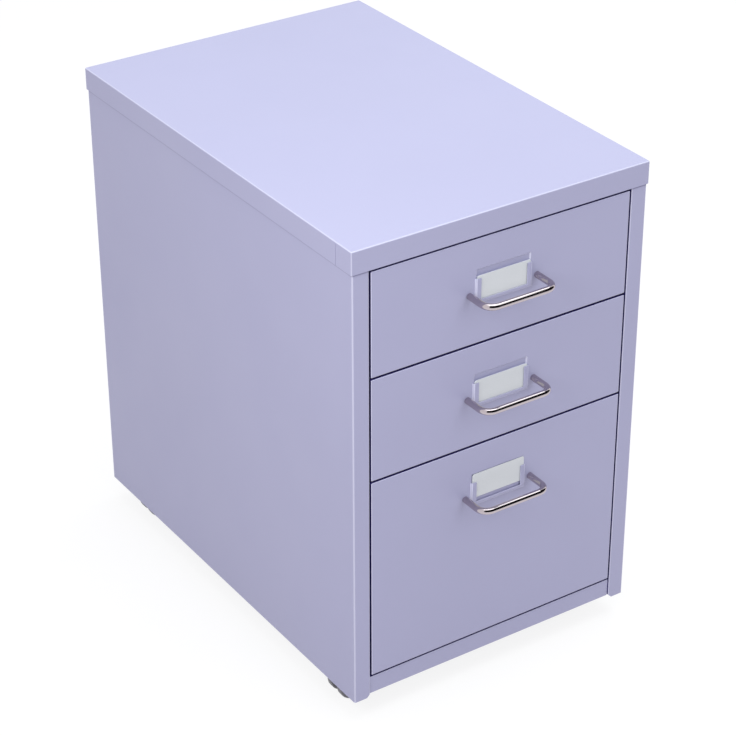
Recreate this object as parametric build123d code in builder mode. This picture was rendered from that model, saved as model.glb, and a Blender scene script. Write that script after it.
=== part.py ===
from build123d import *
import os
from math import atan, degrees

# Mobile drawer unit of folded sheet steel: two shallow drawers over one deep drawer, on castors.
# Lengths are in millimetres. X is to the right seen from the front, the drawers open towards -Y
# and Z is up. The origin is on the floor, at the middle of the unit with its pulls.

# Carcass
lid_width = 400.0
lid_depth = 590.0
unit_height = 620.0
floor_gap = 30.0
rim_height = 28.0
sheet = 1.0
fold_radius = 1.2
lid_edge_radius = 1.6
lid_corner_radius = 1.6
lid_play = 0.3
side_overhang = 1.6
end_overhang = 1.2
stile_width = 22.0
stile_return = 15.0
stile_corner_cut = 5.0
flange_width = 14.0
seam_width = 0.5
seam_depth = 0.4
seam_setback = 30.0

# Rails, base and rear panel
top_rail_setback = 2.0
top_rail_gap = 1.0
bottom_rail_height = 23.4
bottom_rail_rise = 3.7
bottom_rail_recess = 2.0
rail_play = 0.3

# Uprights that carry the slides
upright_width = 30.0
front_upright_setback = 5.0
rear_upright_inset = 4.4
stile_clearance = 0.4

# Slides: three nested channels a side, which end this far in front of the rear panel
slide_rear_clearance = 65.6
slide_height = 45.0
slide_thickness = 12.7
slide_gauge = 1.2
slide_play = 0.3
slide_setback = 4.0
slide_rise = 30.0

# Drawers
small_front_height = 129.7
front_gap = 2.4
top_gap = 2.9
lower_gap = 3.3
side_gap = 1.75
front_depth = 16.0
front_edge_radius = 1.2
front_lip = 12.0
liner_margin = 3.0
box_bottom_rise = 10.0
box_top_drop = 24.0
box_flange = 8.0
box_rear_clearance = 12.0
bumper_radius = 6.0
bumper_play = 0.3
bumper_inset = 40.0

# Wire pulls and their screws
pull_pitch = 92.0
pull_drop = 67.4
pull_reach = 36.0
pull_wire = 8.0
pull_bend = 13.0
screw_radius = 2.0
screw_fit = 0.03
screw_hole_play = 0.2
screw_depth = 8.0
screw_head_radius = 3.8
screw_head_height = 2.6

# Label holders and cards
window_width = 62.7
window_height = 26.0
window_drop = 48.4
holder_side_lip = 6.0
holder_bottom_lip = 4.0
holder_reach = 2.4
holder_skirt = 1.2
holder_wall = 1.0
holder_face = 0.8
card_width = 73.4
card_height = 32.0
card_thickness = 0.6
card_play = 0.4
card_corner = 3.0
card_peep = 3.0
raised_card_peep = 11.0
slot_crease_drop = 36.9
slot_height = 9.0
slot_depth = 2.6
slot_return = 3.0
slot_width = 74.0

# Castors
castor_height = 50.0
castor_side_inset = 41.0
castor_rear_side_inset = 44.0
castor_front_inset = 56.0
castor_rear_inset = 66.0
wheel_radius = 20.0
wheel_width = 9.5
wheel_gap = 11.0
wheel_edge = 1.6
wheel_dish_radius = 13.0
wheel_dish_depth = 1.5
castor_trail = 14.0
plate_size = 42.0
plate_thickness = 2.0
plate_corner = 4.0
plate_hole_pitch = 32.0
plate_screw_radius = 2.0
plate_hole_play = 0.3
plate_screw_head_radius = 3.5
plate_screw_head_height = 2.0
plate_screw_end = 3.0
stem_radius = 3.0
stem_length = 18.0
stem_fit = 0.05
socket_radius = 5.0
thrust_play = 0.3
axle_radius = 2.5
axle_fit = 0.05
hub_fit = 0.02
web_play = 0.6
web_reach = 6.0
hood_play = 1.4
hood_thickness = 1.6
hood_rise = 12.0

# One overrun serves every cut
overrun = 5.0

# Main planes and edges, worked out from the sizes above
pull_front_reach = pull_reach + pull_wire / 2
whole_depth = lid_depth - end_overhang + pull_front_reach
lid_back_y = whole_depth / 2
lid_front_y = lid_back_y - lid_depth
front_y = lid_front_y + end_overhang
back_y = lid_back_y - end_overhang
body_half = lid_width / 2 - side_overhang
inner_half = body_half - sheet
opening_half = body_half - stile_width
lid_seat_z = unit_height - sheet - lid_play
rim_low_z = unit_height - rim_height
rear_panel_y = back_y - 2 * sheet
base_z = castor_height
rail_low_z = floor_gap + bottom_rail_rise
rail_top_z = rail_low_z + bottom_rail_height
upstand_top_z = rail_top_z - sheet - fold_radius
front_back_y = front_y + front_depth
upright_half = opening_half - stile_clearance
box_half = upright_half - slide_thickness
front_half = opening_half - side_gap
liner_half = front_half - liner_margin
box_front_y = front_back_y
box_rear_y = rear_panel_y - box_rear_clearance
slide_front_y = front_back_y + slide_setback
slide_length = rear_panel_y - slide_front_y - slide_rear_clearance
front_upright_y = front_y + stile_return + front_upright_setback
rear_upright_y = slide_front_y + slide_length - rear_upright_inset - upright_width

# Lower and upper edge of each drawer front, from the top down
upper_top_z = rim_low_z - top_gap
upper_low_z = upper_top_z - small_front_height
middle_top_z = upper_low_z - front_gap
middle_low_z = middle_top_z - small_front_height
lower_top_z = middle_low_z - front_gap
lower_low_z = rail_top_z + lower_gap
drawers = [
    ("upper_drawer", upper_low_z, upper_top_z, card_peep),
    ("middle_drawer", middle_low_z, middle_top_z, card_peep),
    ("lower_drawer", lower_low_z, lower_top_z, raised_card_peep),
]

os.makedirs("parts", exist_ok=True)


def save(piece, name):
    """Label a finished piece and write it under its own name."""
    piece.part.label = name
    export_step(piece.part, f"parts/{name}.step")


def wall_plane(y):
    """The upright plane at depth y, whose normal points to the front."""
    return Plane.XZ.offset(-y)


def mid_fold(thickness):
    """Radius of the middle of a folded sheet."""
    return fold_radius + thickness / 2


# Lid: one folded sheet with a rim on every side
with BuildPart() as lid:
    with BuildSketch(Plane.XY.offset(rim_low_z)):
        with Locations((0, lid_back_y - lid_depth / 2)):
            Rectangle(lid_width, lid_depth)
    extrude(amount=rim_height)
    fillet(lid.edges().filter_by(Axis.Z), radius=lid_corner_radius)
    fillet(lid.faces().sort_by(Axis.Z)[-1].edges(), radius=lid_edge_radius)
    offset(amount=-sheet, openings=lid.faces().sort_by(Axis.Z)[0])
    # the folded corner's seam, a fine groove across the left rim
    with BuildSketch(Plane.XY.offset(rim_low_z)):
        with Locations((-lid_width / 2, lid_front_y + seam_setback)):
            Rectangle(2 * seam_depth, seam_width)
    extrude(amount=rim_height - lid_edge_radius, mode=Mode.SUBTRACT)
save(lid, "lid")


def side_panel(name, side):
    """A side with its front stile, stile return and rear flange, folded from one sheet."""
    mid = sheet / 2
    with BuildPart() as panel:
        with BuildSketch(Plane.XY.offset(floor_gap)):
            with BuildLine():
                FilletPolyline(
                    (side * (opening_half + mid), front_y + stile_return),
                    (side * (opening_half + mid), front_y + mid),
                    (side * (body_half - mid), front_y + mid),
                    (side * (body_half - mid), back_y - mid),
                    (side * (body_half - flange_width), back_y - mid),
                    radius=mid_fold(sheet),
                )
            trace(line_width=sheet)
        extrude(amount=lid_seat_z - floor_gap)
        # top flange that the lid is welded to
        flange_front_y = front_y + mid_fold(sheet) + sheet
        with BuildSketch(Plane.XY.offset(lid_seat_z - sheet)):
            with Locations((side * (inner_half - flange_width / 2), (flange_front_y + rear_panel_y) / 2)):
                Rectangle(flange_width, rear_panel_y - flange_front_y)
        extrude(amount=sheet)
        # cut lower corner of the stile and its return
        with BuildSketch(wall_plane(front_y)):
            with BuildLine():
                Polyline(
                    (side * opening_half, floor_gap),
                    (side * (opening_half + stile_corner_cut), floor_gap),
                    (side * opening_half, floor_gap + stile_corner_cut),
                    close=True,
                )
            make_face()
        extrude(amount=-(stile_return + overrun), mode=Mode.SUBTRACT)
    save(panel, name)


side_panel("left_side_panel", -1)
side_panel("right_side_panel", 1)

# Rear panel, inside the side panels' rear flanges, with a top flange under the lid
with BuildPart() as rear_panel:
    with BuildSketch(wall_plane(rear_panel_y + sheet)):
        with Locations((0, (rail_low_z + lid_seat_z) / 2)):
            Rectangle(2 * (inner_half - fold_radius), lid_seat_z - rail_low_z)
    extrude(amount=sheet)
    rear_flange_half = inner_half - flange_width - rail_play
    with BuildSketch(Plane.XY.offset(lid_seat_z - sheet)):
        with Locations((0, rear_panel_y - flange_width / 2)):
            Rectangle(2 * rear_flange_half, flange_width)
    extrude(amount=sheet)
save(rear_panel, "rear_panel")

# Front top rail, a channel hidden behind the lid's front rim
with BuildPart() as front_top_rail:
    rail_front_y = front_y + top_rail_setback
    rail_back_y = front_y + stile_return
    channel_low_z = rim_low_z + top_rail_gap
    mid = sheet / 2
    with BuildSketch(Plane.YZ.offset(-opening_half)):
        with BuildLine():
            FilletPolyline(
                (rail_back_y, channel_low_z + mid),
                (rail_front_y + mid, channel_low_z + mid),
                (rail_front_y + mid, lid_seat_z - mid),
                (rail_back_y, lid_seat_z - mid),
                radius=mid_fold(sheet),
            )
        trace(line_width=sheet)
    extrude(amount=2 * opening_half)
save(front_top_rail, "front_top_rail")

# Front bottom rail, a little behind the stiles, with a top flange over the base panel
with BuildPart() as front_bottom_rail:
    rail_half = opening_half - rail_play
    rail_face_y = front_y + bottom_rail_recess
    with BuildSketch(Plane.YZ.offset(-rail_half)):
        with BuildLine():
            FilletPolyline(
                (rail_face_y + sheet / 2, rail_low_z),
                (rail_face_y + sheet / 2, rail_top_z - sheet / 2),
                (front_y + stile_return, rail_top_z - sheet / 2),
                radius=mid_fold(sheet),
            )
        trace(line_width=sheet)
    extrude(amount=2 * rail_half)
save(front_bottom_rail, "front_bottom_rail")

# Places of the castors' swivel pins, used by the base panel, the screws and the castors
castor_places = [
    ("front_left_castor", -(body_half - castor_side_inset), front_y + castor_front_inset),
    ("front_right_castor", body_half - castor_side_inset, front_y + castor_front_inset),
    ("rear_left_castor", -(body_half - castor_rear_side_inset), back_y - castor_rear_inset),
    ("rear_right_castor", body_half - castor_rear_side_inset, back_y - castor_rear_inset),
]

# Base panel, a shallow tray whose edges turn up, with a narrower tongue between the stiles
with BuildPart() as base_panel:
    tongue_front_y = front_y + bottom_rail_recess + sheet
    tongue_half = opening_half - rail_play
    shoulder_y = front_y + stile_return + rail_play
    tray_outline = [
        (-tongue_half, tongue_front_y),
        (tongue_half, tongue_front_y),
        (tongue_half, shoulder_y),
        (inner_half, shoulder_y),
        (inner_half, rear_panel_y),
        (-inner_half, rear_panel_y),
        (-inner_half, shoulder_y),
        (-tongue_half, shoulder_y),
    ]
    with BuildSketch(Plane.XY.offset(base_z)) as tray:
        with BuildLine():
            Polyline(*tray_outline, close=True)
        make_face()
        # the rear corners are rounded to clear the side panels' folds
        fillet(tray.vertices().group_by(Axis.Y)[-1], radius=mid_fold(sheet))
    extrude(amount=upstand_top_z - base_z)
    with BuildSketch(Plane.XY.offset(base_z + sheet)):
        with BuildLine():
            Polyline(*tray_outline, close=True)
        make_face()
        offset(amount=-sheet, kind=Kind.INTERSECTION, mode=Mode.REPLACE)
    extrude(amount=upstand_top_z - base_z, mode=Mode.SUBTRACT)
    # screw holes of the castors
    with BuildSketch(Plane.XY.offset(base_z - overrun)):
        for name, x, y in castor_places:
            with Locations((x, y)):
                with GridLocations(plate_hole_pitch, plate_hole_pitch, 2, 2):
                    Circle(plate_screw_radius + plate_hole_play)
    extrude(amount=sheet + 2 * overrun, mode=Mode.SUBTRACT)
save(base_panel, "base_panel")


def upright(name, side, y):
    """A channel between the base's edge and the top flange, open towards the side panel."""
    mid = sheet / 2
    with BuildPart() as channel:
        with BuildSketch(Plane.XY.offset(upstand_top_z)):
            with BuildLine():
                FilletPolyline(
                    (side * inner_half, y + mid),
                    (side * (upright_half + mid), y + mid),
                    (side * (upright_half + mid), y + upright_width - mid),
                    (side * inner_half, y + upright_width - mid),
                    radius=mid_fold(sheet),
                )
            trace(line_width=sheet)
        extrude(amount=lid_seat_z - sheet - upstand_top_z)
    save(channel, name)


for side_name, side in (("left", -1), ("right", 1)):
    upright(f"{side_name}_front_upright", side, front_upright_y)
    upright(f"{side_name}_rear_upright", side, rear_upright_y)


def channel_pair(name, z, height, web_x, tip_x):
    """A left and right slide member: a channel with its web at web_x and flange tips at tip_x."""
    mid = slide_gauge / 2
    web_mid = web_x + mid if tip_x > web_x else web_x - mid
    with BuildPart() as members:
        with BuildSketch(wall_plane(slide_front_y)):
            with BuildLine():
                FilletPolyline(
                    (tip_x, z + height / 2 - mid),
                    (web_mid, z + height / 2 - mid),
                    (web_mid, z - height / 2 + mid),
                    (tip_x, z - height / 2 + mid),
                    radius=slide_gauge,
                )
            trace(line_width=slide_gauge)
        extrude(amount=-slide_length)
        mirror(about=Plane.YZ)
    save(members, name)


def slides(name, z):
    """The three nested members of a pair of slides, from the upright to the drawer box."""
    nest = slide_gauge + slide_play
    outer_web_x = -upright_half
    middle_web_x = outer_web_x + nest
    inner_web_x = -box_half
    channel_pair(f"{name}_slide_outer_members", z, slide_height, outer_web_x, inner_web_x - 2 * nest)
    channel_pair(f"{name}_slide_middle_members", z, slide_height - 2 * nest, middle_web_x, inner_web_x - nest)
    channel_pair(f"{name}_slide_inner_members", z, slide_height - 4 * nest, inner_web_x, middle_web_x + nest)


def drawer_front(name, low_z, top_z):
    """A pan of folded sheet, with its pressed card slot and the two screw holes of the pull."""
    height = top_z - low_z
    middle_z = (low_z + top_z) / 2
    crease_z = top_z - slot_crease_drop
    deep_z = crease_z - slot_height
    end_z = deep_z - slot_return
    with BuildPart() as front:
        with BuildSketch(wall_plane(front_y)):
            with Locations((0, middle_z)):
                Rectangle(2 * front_half, height)
        extrude(amount=-front_depth)
        fillet(front.faces().sort_by(Axis.Y)[0].edges(), radius=front_edge_radius)
        with BuildSketch(wall_plane(front_y + sheet)):
            with Locations((0, middle_z)):
                Rectangle(2 * (front_half - sheet), height - 2 * sheet)
        extrude(amount=-(front_depth - 2 * sheet), mode=Mode.SUBTRACT)
        with BuildSketch(wall_plane(front_back_y - sheet)):
            with Locations((0, middle_z)):
                Rectangle(2 * (front_half - front_lip), height - 2 * front_lip)
        extrude(amount=-(sheet + overrun), mode=Mode.SUBTRACT)
        # the slot is pressed inwards, so the sheet bulges behind it and is hollow in front
        with BuildSketch(Plane.YZ.offset(-slot_width / 2 - sheet)):
            with BuildLine():
                Polyline(
                    (front_y + sheet / 2, crease_z + sheet),
                    (front_y + slot_depth + sheet, deep_z),
                    (front_y + sheet / 2, end_z - sheet),
                    close=True,
                )
            make_face()
        extrude(amount=slot_width + 2 * sheet)
        with BuildSketch(Plane.YZ.offset(-slot_width / 2)):
            with BuildLine():
                Polyline((front_y, crease_z), (front_y + slot_depth, deep_z), (front_y, end_z), close=True)
            make_face()
        extrude(amount=slot_width, mode=Mode.SUBTRACT)
        with BuildSketch(wall_plane(front_y)):
            with Locations((0, top_z - pull_drop)):
                with GridLocations(pull_pitch, pull_pitch, 2, 1):
                    Circle(screw_radius + screw_hole_play)
        extrude(amount=-(sheet + overrun), mode=Mode.SUBTRACT)
    save(front, f"{name}_front")


def drawer_box(name, low_z, top_z):
    """Bottom, sides with turned-in edges and a front liner, from one sheet."""
    box_low_z = low_z + box_bottom_rise
    box_top_z = top_z - box_top_drop
    mid = sheet / 2
    with BuildPart() as box:
        with BuildSketch(wall_plane(box_front_y)):
            with BuildLine():
                FilletPolyline(
                    (-box_half + box_flange, box_top_z - mid),
                    (-box_half + mid, box_top_z - mid),
                    (-box_half + mid, box_low_z + mid),
                    (box_half - mid, box_low_z + mid),
                    (box_half - mid, box_top_z - mid),
                    (box_half - box_flange, box_top_z - mid),
                    radius=mid_fold(sheet),
                )
            trace(line_width=sheet)
        extrude(amount=-(box_rear_y - box_front_y))
        with BuildSketch(wall_plane(box_front_y)):
            with Locations((0, (low_z + top_z) / 2)):
                Rectangle(2 * liner_half, top_z - low_z - 2 * liner_margin)
        extrude(amount=-sheet)
    save(box, f"{name}_box")


def drawer_back(name, low_z, top_z):
    """The separate rear wall of a drawer box, welded in between its sides."""
    inside_low_z = low_z + box_bottom_rise + sheet
    inside_top_z = top_z - box_top_drop - sheet
    with BuildPart() as back:
        with BuildSketch(wall_plane(box_rear_y)):
            with Locations((0, (inside_low_z + inside_top_z) / 2)):
                RectangleRounded(2 * (box_half - sheet), inside_top_z - inside_low_z, fold_radius)
        extrude(amount=sheet)
    save(back, f"{name}_back")


def pull(name, top_z):
    """A round wire bent to a bow, with a threaded hole up each leg."""
    z = top_z - pull_drop
    bar_y = front_y - pull_reach
    with BuildPart() as wire:
        with BuildLine() as bow:
            FilletPolyline(
                (-pull_pitch / 2, front_y, z),
                (-pull_pitch / 2, bar_y, z),
                (pull_pitch / 2, bar_y, z),
                (pull_pitch / 2, front_y, z),
                radius=pull_bend,
            )
        with BuildSketch(Plane(origin=bow.line @ 0, z_dir=bow.line % 0)):
            Circle(pull_wire / 2)
        sweep()
        with BuildSketch(wall_plane(front_y)):
            with Locations((0, z)):
                with GridLocations(pull_pitch, pull_pitch, 2, 1):
                    Circle(screw_radius + screw_fit)
        extrude(amount=screw_depth + screw_hole_play, mode=Mode.SUBTRACT)
    save(wire, f"{name}_pull")


def pull_screws(name, top_z):
    """Two screws from behind the front, up the legs of the pull."""
    z = top_z - pull_drop
    with BuildPart() as screws:
        for x in (-pull_pitch / 2, pull_pitch / 2):
            with BuildSketch(wall_plane(front_y + sheet)):
                with Locations((x, z)):
                    Circle(screw_head_radius)
            extrude(amount=-screw_head_height)
            with BuildSketch(wall_plane(front_y + sheet)):
                with Locations((x, z)):
                    Circle(screw_radius)
            extrude(amount=sheet + screw_depth)
    save(screws, f"{name}_pull_screws")


def label_holder(name, top_z):
    """A pressed frame, open at the top, whose sloping skirt meets the drawer front."""
    window_top_z = top_z - window_drop
    window_low_z = window_top_z - window_height
    face_width = window_width + 2 * holder_side_lip
    face_low_z = window_low_z - holder_bottom_lip
    skirt_low_z = face_low_z - holder_skirt
    # the pressing starts above the open top, so that its upper skirt falls away with the cut
    blank_top_z = window_top_z + 2 * holder_skirt
    blank_height = blank_top_z - skirt_low_z
    blank_middle_z = (blank_top_z + skirt_low_z) / 2
    slope = degrees(atan(holder_skirt / holder_reach))
    with BuildPart() as holder:
        with BuildSketch(wall_plane(front_y)):
            with Locations((0, blank_middle_z)):
                Rectangle(face_width + 2 * holder_skirt, blank_height)
        extrude(amount=holder_reach, taper=slope)
        with BuildSketch(wall_plane(front_y)):
            with Locations((0, blank_middle_z)):
                Rectangle(face_width + 2 * (holder_skirt - holder_wall), blank_height - 2 * holder_wall)
        extrude(amount=holder_reach - holder_face, taper=slope, mode=Mode.SUBTRACT)
        with BuildSketch(wall_plane(front_y)):
            with Locations((0, window_top_z + holder_skirt + overrun)):
                Rectangle(face_width + 2 * (holder_skirt + overrun), 2 * (holder_skirt + overrun))
            with Locations((0, (window_top_z + window_low_z) / 2)):
                Rectangle(window_width, window_height)
        extrude(amount=holder_reach + overrun, mode=Mode.SUBTRACT)
    save(holder, f"{name}_label_holder")


def label_card(name, top_z, peep):
    """A blank card behind the frame, which peeps out above it."""
    card_top_z = top_z - window_drop + peep
    with BuildPart() as card:
        with BuildSketch(wall_plane(front_y - card_play)):
            with Locations((0, card_top_z - card_height / 2)):
                RectangleRounded(card_width, card_height, card_corner)
        extrude(amount=card_thickness)
    save(card, f"{name}_label_card")


for name, low_z, top_z, peep in drawers:
    slides(name, low_z + box_bottom_rise + slide_rise)
    drawer_front(name, low_z, top_z)
    drawer_box(name, low_z, top_z)
    drawer_back(name, low_z, top_z)
    pull(name, top_z)
    pull_screws(name, top_z)
    label_holder(name, top_z)
    label_card(name, top_z, peep)

# Rubber bumpers on the rear panel, two behind each drawer box
with BuildPart() as rear_bumpers:
    for name, low_z, top_z, peep in drawers:
        bumper_z = (low_z + box_bottom_rise + top_z - box_top_drop) / 2
        with BuildSketch(wall_plane(rear_panel_y)):
            with Locations((0, bumper_z)):
                with GridLocations(2 * (box_half - bumper_inset), 2 * bumper_radius, 2, 1):
                    Circle(bumper_radius)
        extrude(amount=box_rear_clearance - bumper_play)
save(rear_bumpers, "rear_bumpers")

# Screws of the castor plates, from below into the base panel
with BuildPart() as castor_screws:
    for name, x, y in castor_places:
        with BuildSketch(Plane.XY.offset(base_z - plate_thickness)):
            with Locations((x, y)):
                with GridLocations(plate_hole_pitch, plate_hole_pitch, 2, 2):
                    Circle(plate_screw_head_radius)
        extrude(amount=-plate_screw_head_height)
        with BuildSketch(Plane.XY.offset(base_z - plate_thickness)):
            with Locations((x, y)):
                with GridLocations(plate_hole_pitch, plate_hole_pitch, 2, 2):
                    Circle(plate_screw_radius)
        extrude(amount=plate_thickness + sheet + plate_screw_end)
save(castor_screws, "castor_screws")


def castor_plate(name, x, y):
    """The plate under the base, with the swivel stem riveted to it."""
    with BuildPart() as plate:
        with BuildSketch(Plane.XY.offset(base_z)):
            with Locations((x, y)):
                RectangleRounded(plate_size, plate_size, plate_corner)
                with GridLocations(plate_hole_pitch, plate_hole_pitch, 2, 2):
                    Circle(plate_screw_radius + plate_hole_play, mode=Mode.SUBTRACT)
        extrude(amount=-plate_thickness)
        with BuildSketch(Plane.XY.offset(base_z - plate_thickness)):
            with Locations((x, y)):
                Circle(stem_radius)
        extrude(amount=-stem_length)
    save(plate, f"{name}_plate")


def castor_housing(name, x, y):
    """Socket round the stem, a web down to the axle and a hood over the wheels."""
    axle_x = x - castor_trail
    housing_top_z = base_z - plate_thickness - thrust_play
    socket_low_z = base_z - plate_thickness - stem_length - thrust_play - stem_radius
    web_half = wheel_gap / 2 - web_play
    hood_inner = wheel_radius + hood_play
    hood_outer = hood_inner + hood_thickness
    width = wheel_gap + 2 * wheel_width
    with BuildPart() as housing:
        # hood, a strip of a ring over the top of the wheels
        with BuildSketch(wall_plane(y - width / 2)):
            with Locations((axle_x, wheel_radius)):
                Circle(hood_outer)
                Circle(hood_inner, mode=Mode.SUBTRACT)
                with Locations((0, hood_rise - hood_outer)):
                    Rectangle(2 * hood_outer, 2 * hood_outer, mode=Mode.SUBTRACT)
        extrude(amount=-width)
        # web between the wheels, from the hood to below the axle
        with BuildSketch(wall_plane(y - web_half)):
            with BuildLine():
                Polyline(
                    (x, socket_low_z),
                    (axle_x, wheel_radius - web_reach),
                    (axle_x - web_reach, wheel_radius),
                    (axle_x, wheel_radius + hood_outer),
                    (x, wheel_radius + hood_outer),
                    close=True,
                )
            make_face()
        extrude(amount=-2 * web_half)
        # socket of the stem
        with BuildSketch(Plane.XY.offset(socket_low_z)):
            with Locations((x, y)):
                Circle(socket_radius)
        extrude(amount=housing_top_z - socket_low_z)
        with BuildSketch(Plane.XY.offset(housing_top_z)):
            with Locations((x, y)):
                Circle(stem_radius + stem_fit)
        extrude(amount=-(stem_length + thrust_play), mode=Mode.SUBTRACT)
        with BuildSketch(wall_plane(y - width / 2)):
            with Locations((axle_x, wheel_radius)):
                Circle(axle_radius + axle_fit)
        extrude(amount=-width, mode=Mode.SUBTRACT)
    save(housing, f"{name}_housing")


def castor_axle(name, x, y):
    """The steel axle, pressed into both wheels."""
    length = wheel_gap + 2 * (wheel_width - wheel_dish_depth)
    with BuildPart() as axle:
        with BuildSketch(wall_plane(y - length / 2)):
            with Locations((x - castor_trail, wheel_radius)):
                Circle(axle_radius)
        extrude(amount=-length)
    save(axle, f"{name}_axle")


def castor_wheels(name, x, y):
    """The twin wheels, each dished on its outer face."""
    with BuildPart() as wheels:
        with BuildSketch(Plane.YZ.offset(x - castor_trail)):
            with BuildLine():
                inner_y = y + wheel_gap / 2
                outer_y = inner_y + wheel_width
                rim_z = 2 * wheel_radius
                FilletPolyline(
                    (inner_y, wheel_radius + axle_radius + hub_fit),
                    (inner_y, rim_z),
                    (outer_y, rim_z),
                    (outer_y, wheel_radius + wheel_dish_radius),
                    radius=wheel_edge,
                )
                Polyline(
                    (outer_y, wheel_radius + wheel_dish_radius),
                    (outer_y - wheel_dish_depth, wheel_radius + wheel_dish_radius),
                    (outer_y - wheel_dish_depth, wheel_radius + axle_radius + hub_fit),
                    (inner_y, wheel_radius + axle_radius + hub_fit),
                )
            make_face()
        revolve(axis=Axis((x - castor_trail, y, wheel_radius), (0, 1, 0)))
        mirror(about=Plane.XZ.offset(-y))
    save(wheels, f"{name}_wheels")


for name, x, y in castor_places:
    castor_plate(name, x, y)
    castor_housing(name, x, y)
    castor_axle(name, x, y)
    castor_wheels(name, x, y)
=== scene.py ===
# %% [markdown]
# # Mobile drawer unit
# A steel drawer unit on castors: a folded lid, two plain sides, two shallow drawers over one deep
# drawer, bright wire pulls and pressed label holders. The steelwork comes from the CAD frame, and
# this lesson lights it, photographs it and makes the parts whose smooth forms need a modeller.

# %% Load the frame
import math

import bmesh
import bpy
from mathutils import Matrix, Vector


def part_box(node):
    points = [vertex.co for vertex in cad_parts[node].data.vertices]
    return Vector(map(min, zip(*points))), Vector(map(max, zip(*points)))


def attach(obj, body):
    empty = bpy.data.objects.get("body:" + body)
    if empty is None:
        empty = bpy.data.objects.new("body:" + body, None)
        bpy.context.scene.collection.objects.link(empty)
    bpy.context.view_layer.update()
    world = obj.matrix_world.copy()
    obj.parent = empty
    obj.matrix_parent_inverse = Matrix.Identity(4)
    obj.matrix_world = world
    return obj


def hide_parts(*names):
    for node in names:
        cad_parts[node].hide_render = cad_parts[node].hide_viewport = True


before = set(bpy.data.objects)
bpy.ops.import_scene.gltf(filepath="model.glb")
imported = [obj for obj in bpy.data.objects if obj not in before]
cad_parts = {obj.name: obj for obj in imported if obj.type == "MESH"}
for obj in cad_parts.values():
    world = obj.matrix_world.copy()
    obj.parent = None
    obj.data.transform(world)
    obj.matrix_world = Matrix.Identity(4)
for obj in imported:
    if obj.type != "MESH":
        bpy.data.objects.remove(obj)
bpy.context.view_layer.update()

# %% [markdown]
# ## Camera
# The picture was taken from the front left and well above, with a long lens, so the upright edges
# stay nearly parallel. The place, the turn and the lens were fitted to the unit's own corners.
# A camera could also be aimed with a constraint, but a plain turn is easier to read and to repeat.

# %% Camera
film_width, focal_length = 36.0, 115.9
camera_place = (-1.3931, -2.1049, 1.7502)
turn, tilt, roll = -0.5858, 0.5262, -0.0032

bpy.context.scene.view_settings.view_transform = "Standard"
camera_data = bpy.data.cameras.new("photo_camera")
camera_data.sensor_width = film_width
camera_data.lens = focal_length
camera = bpy.data.objects.new("photo_camera", camera_data)
bpy.context.collection.objects.link(camera)
bpy.context.scene.camera = camera
camera.matrix_world = (
    Matrix.Translation(camera_place)
    @ Matrix.Rotation(turn, 4, "Z")
    @ Matrix.Rotation(math.pi / 2 - tilt, 4, "X")
    @ Matrix.Rotation(roll, 4, "Z")
)
print("camera stands", round(camera.location.length, 2), "m from the origin")

# %% [markdown]
# ## Helpers for node trees
# Every finish below is a small node tree. These helpers add a node, feed its sockets and start a
# material, so that each finish reads as a list of what it is made of. A socket is fed with a plain
# value or with a pair, which is another node and the name of its output.

# %% Helpers for node trees
def join(tree, source, out_name, target, in_name):
    tree.links.new(source.outputs[out_name], target.inputs[in_name])


def add_node(tree, kind, x, y, feeds=None, **settings):
    node = tree.nodes.new(kind)
    node.location = (x, y)
    for setting, value in settings.items():
        setattr(node, setting, value)
    for socket, value in (feeds or {}).items():
        if isinstance(value, tuple) and isinstance(value[0], bpy.types.Node):
            join(tree, *value, node, socket)
        else:
            node.inputs[socket].default_value = value
    return node


def add_math(tree, operation, x, y, *values):
    return add_node(tree, "ShaderNodeMath", x, y, dict(enumerate(values)), operation=operation)


def add_range(tree, x, y, value, low, high):
    feeds = {"Value": value, "From Min": low, "From Max": high}
    return add_node(tree, "ShaderNodeMapRange", x, y, feeds)


def start_material(name):
    material = bpy.data.materials.new(name)
    material.use_nodes = True
    tree = material.node_tree
    tree.nodes.clear()
    output = add_node(tree, "ShaderNodeOutputMaterial", 600, 0)
    return material, tree, output


# %% [markdown]
# ## Floor and background
# The picture has a plain white background, which in Blender must not come from stronger lamps,
# because they would also bleach the paint. So the floor is an ordinary pale surface for the light
# that bounces off it, and only a ray from the camera, or one seen in the chrome, finds it bright.
# A part of that brightness is still lit by the lamps, and this part keeps the unit's soft shadow.

# %% Split what lights from what shows
def split_by_ray(tree, lights, shows):
    path = add_node(tree, "ShaderNodeLightPath", -600, 300)
    seen = add_math(tree, "MAXIMUM", -400, 300, (path, "Is Camera Ray"), (path, "Is Glossy Ray"))
    seen_in_glass = add_math(
        tree, "MAXIMUM", -200, 300, (seen, "Value"), (path, "Is Transmission Ray")
    )
    feeds = {"Fac": (seen_in_glass, "Value"), 1: lights, 2: shows}
    return add_node(tree, "ShaderNodeMixShader", 300, 0, feeds)


# %% Floor
floor_reach = 20.0


def add_object(bm, name):
    mesh = bpy.data.meshes.new(name)
    bm.to_mesh(mesh)
    bm.free()
    added = bpy.data.objects.new(name, mesh)
    bpy.context.collection.objects.link(added)
    return added


floor_bm = bmesh.new()
bmesh.ops.create_grid(floor_bm, x_segments=1, y_segments=1, size=floor_reach)
floor = add_object(floor_bm, "floor")

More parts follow.
